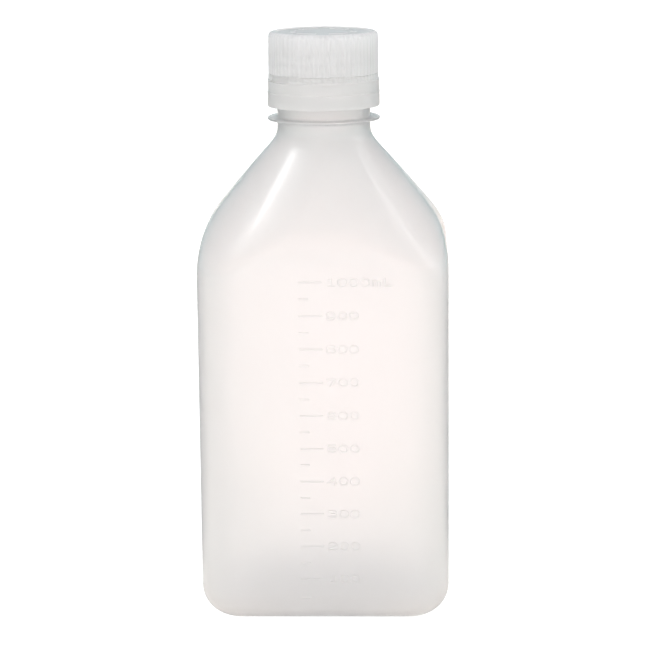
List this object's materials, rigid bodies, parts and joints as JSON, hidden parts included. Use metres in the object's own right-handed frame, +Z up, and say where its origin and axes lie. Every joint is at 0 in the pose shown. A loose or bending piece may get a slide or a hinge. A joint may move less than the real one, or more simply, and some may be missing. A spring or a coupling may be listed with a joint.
{
  "type": "square graduated bottle with screw cap",
  "caption": "Square translucent plastic bottle with a sloping shoulder, raised volume marks, a threaded neck, a ribbed screw cap and a tamper band.",
  "frame": {"origin": "middle of the base, on the surface the bottle stands on", "axes": "+Z up along the neck axis, -Y out of the graduated face, +X to the right of the marks"},
  "size_m": [0.0924, 0.0926, 0.2156],
  "materials": {
    "bottle_plastic": "blown natural polypropylene, milky and translucent, smooth with a soft gloss",
    "cap_plastic": "moulded natural polypropylene, milky white, ribbed side",
    "band_plastic": "moulded natural polypropylene, thin and translucent"
  },
  "bodies": {
    "bottle": {"bottle": "bottle_plastic"},
    "band": {"tamper_band": "band_plastic"},
    "cap": {"cap": "cap_plastic"}
  },
  "joints": [
    {"name": "cap_turn", "type": "hinge", "parent": "bottle", "child": "band", "pos_m": [0, 0, 0.1932], "axis": [0, 0, 1], "range_deg": [0, 2160]},
    {"name": "cap_lift", "type": "slide", "parent": "band", "child": "cap", "axis": [0, 0, 1], "range_m": [0, 0.02545]}
  ],
  "couplings": [
    {"joint": "cap_lift", "follows": "cap_turn", "m_per_rad": 0.00067376}
  ]
}
